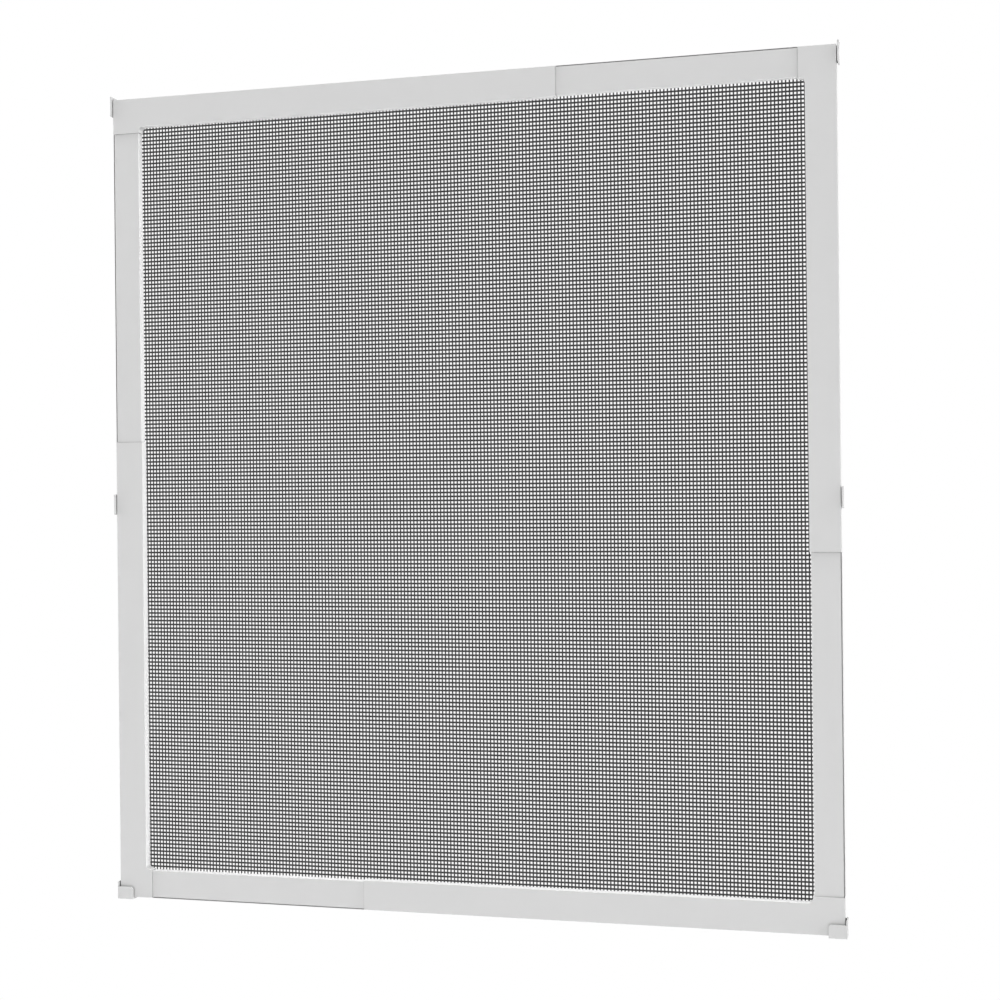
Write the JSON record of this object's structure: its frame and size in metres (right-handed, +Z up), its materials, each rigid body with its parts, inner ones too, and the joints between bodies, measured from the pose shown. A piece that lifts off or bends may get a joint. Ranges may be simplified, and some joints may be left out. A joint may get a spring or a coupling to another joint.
{
  "type": "window insect screen frame",
  "caption": "Rectangular plug-together insect screen for a window: white corner and slide arms, dark mesh held by rear splines, and side clips with corner shoes.",
  "frame": {"origin": "middle of the box around the part, at the underside of the corner shoes", "axes": "+X across the window to the right seen from the room, +Y from the room towards the window, +Z up"},
  "size_m": [1.007, 0.0206, 1.1274],
  "materials": {
    "frame_plastic": "fine satin moulded plastic, off-white",
    "clip_plastic": "satin moulded plastic, off-white",
    "screen_mesh": "coated glass-fibre threads, near black",
    "spline_vinyl": "soft round cord, matt black",
    "foam_tape": "white foam tape"
  },
  "bodies": {
    "root": {"corner_arm_top_left": "frame_plastic", "corner_arm_top_right": "frame_plastic", "corner_arm_bottom_right": "frame_plastic", "corner_arm_bottom_left": "frame_plastic", "slide_arm_left": "frame_plastic", "slide_arm_top": "frame_plastic", "slide_arm_right": "frame_plastic", "slide_arm_bottom": "frame_plastic", "spline_left": "spline_vinyl", "spline_top": "spline_vinyl", "spline_right": "spline_vinyl", "spline_bottom": "spline_vinyl", "insect_mesh": "screen_mesh", "side_clip_top_left": "clip_plastic", "clip_pad_top_left": "foam_tape", "side_clip_middle_left": "clip_plastic", "clip_pad_middle_left": "foam_tape", "side_clip_top_right": "clip_plastic", "clip_pad_top_right": "foam_tape", "side_clip_middle_right": "clip_plastic", "clip_pad_middle_right": "foam_tape", "corner_shoe_left": "clip_plastic", "shoe_pad_left": "foam_tape", "corner_shoe_right": "clip_plastic", "shoe_pad_right": "foam_tape"}
  },
  "joints": []
}
